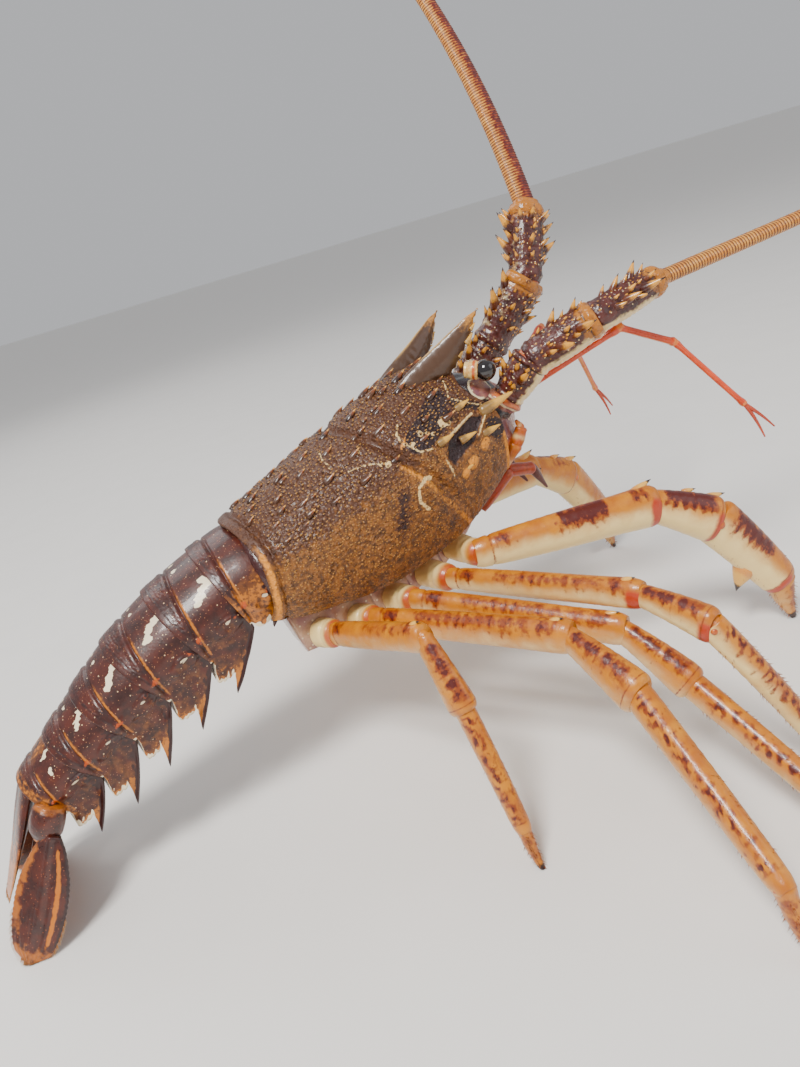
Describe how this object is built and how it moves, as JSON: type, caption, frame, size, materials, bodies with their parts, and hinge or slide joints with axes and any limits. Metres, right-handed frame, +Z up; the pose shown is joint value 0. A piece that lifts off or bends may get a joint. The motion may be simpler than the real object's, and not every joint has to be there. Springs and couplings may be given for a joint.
{
  "type": "european spiny lobster",
  "caption": "Spiny lobster standing on its walking legs, tail fan down, with two long antennae, horns over the eyes and rows of forward spines.",
  "frame": {"origin": "on the floor, under the middle of the whole model's box", "axes": "+X forward, the way the head points; +Y to the animal's left; +Z up"},
  "size_m": [0.8351, 0.5454, 0.5742],
  "materials": {
    "shell": "hard calcified shell, brown-gold and granular, with dark spines and cream lines",
    "tail": "smooth glossy shell, maroon-brown with cream blotches and orange mottling",
    "leg": "smooth shell, bright orange with dark maroon blotches and cream undersides",
    "antenna": "ringed whip, ochre orange with a dark red-brown stripe",
    "peduncle": "near-black purple shell with cream spots and yellow-based spines",
    "antennule": "smooth orange shell",
    "pale": "pale cream and purple-pink underside shell and skin",
    "eye": "glossy black eye on an orange and cream stalk"
  },
  "bodies": {
    "root": {"abdomen_1": "tail", "abdomen_2": "tail", "abdomen_3": "tail", "abdomen_4": "tail", "abdomen_5": "tail", "abdomen_6": "tail", "antenna_left_base": "peduncle", "antenna_left_end": "peduncle", "antenna_left_middle": "peduncle", "antenna_right_base": "peduncle", "antenna_right_end": "peduncle", "antenna_right_middle": "peduncle", "antennule_left": "antennule", "antennule_right": "antennule", "breastplate": "pale", "carapace": "shell", "eye_left": "eye", "eye_right": "eye", "head": "peduncle", "horn_left": "shell", "horn_right": "shell", "leg_1_left_carpus": "leg", "leg_1_left_finger": "leg", "leg_1_left_hand": "leg", "leg_1_left_upper": "leg", "leg_1_right_carpus": "leg", "leg_1_right_finger": "leg", "leg_1_right_hand": "leg", "leg_1_right_upper": "leg", "leg_2_left_lower": "leg", "leg_2_left_upper": "leg", "leg_2_right_lower": "leg", "leg_2_right_upper": "leg", "leg_3_left_lower": "leg", "leg_3_left_upper": "leg", "leg_3_right_lower": "leg", "leg_3_right_upper": "leg", "leg_4_left_lower": "leg", "leg_4_left_upper": "leg", "leg_4_right_lower": "leg", "leg_4_right_upper": "leg", "leg_5_left_lower": "leg", "leg_5_left_upper": "leg", "leg_5_right_lower": "leg", "leg_5_right_upper": "leg", "maxilliped_left": "antennule", "maxilliped_right": "antennule", "telson": "tail", "uropod_left_base": "tail", "uropod_left_inner": "tail", "uropod_left_outer": "tail", "uropod_right_base": "tail", "uropod_right_inner": "tail", "uropod_right_outer": "tail", "whip_left_1": "antenna", "whip_left_2": "antenna", "whip_left_3": "antenna", "whip_right_1": "antenna", "whip_right_2": "antenna", "whip_right_3": "antenna"}
  },
  "joints": []
}
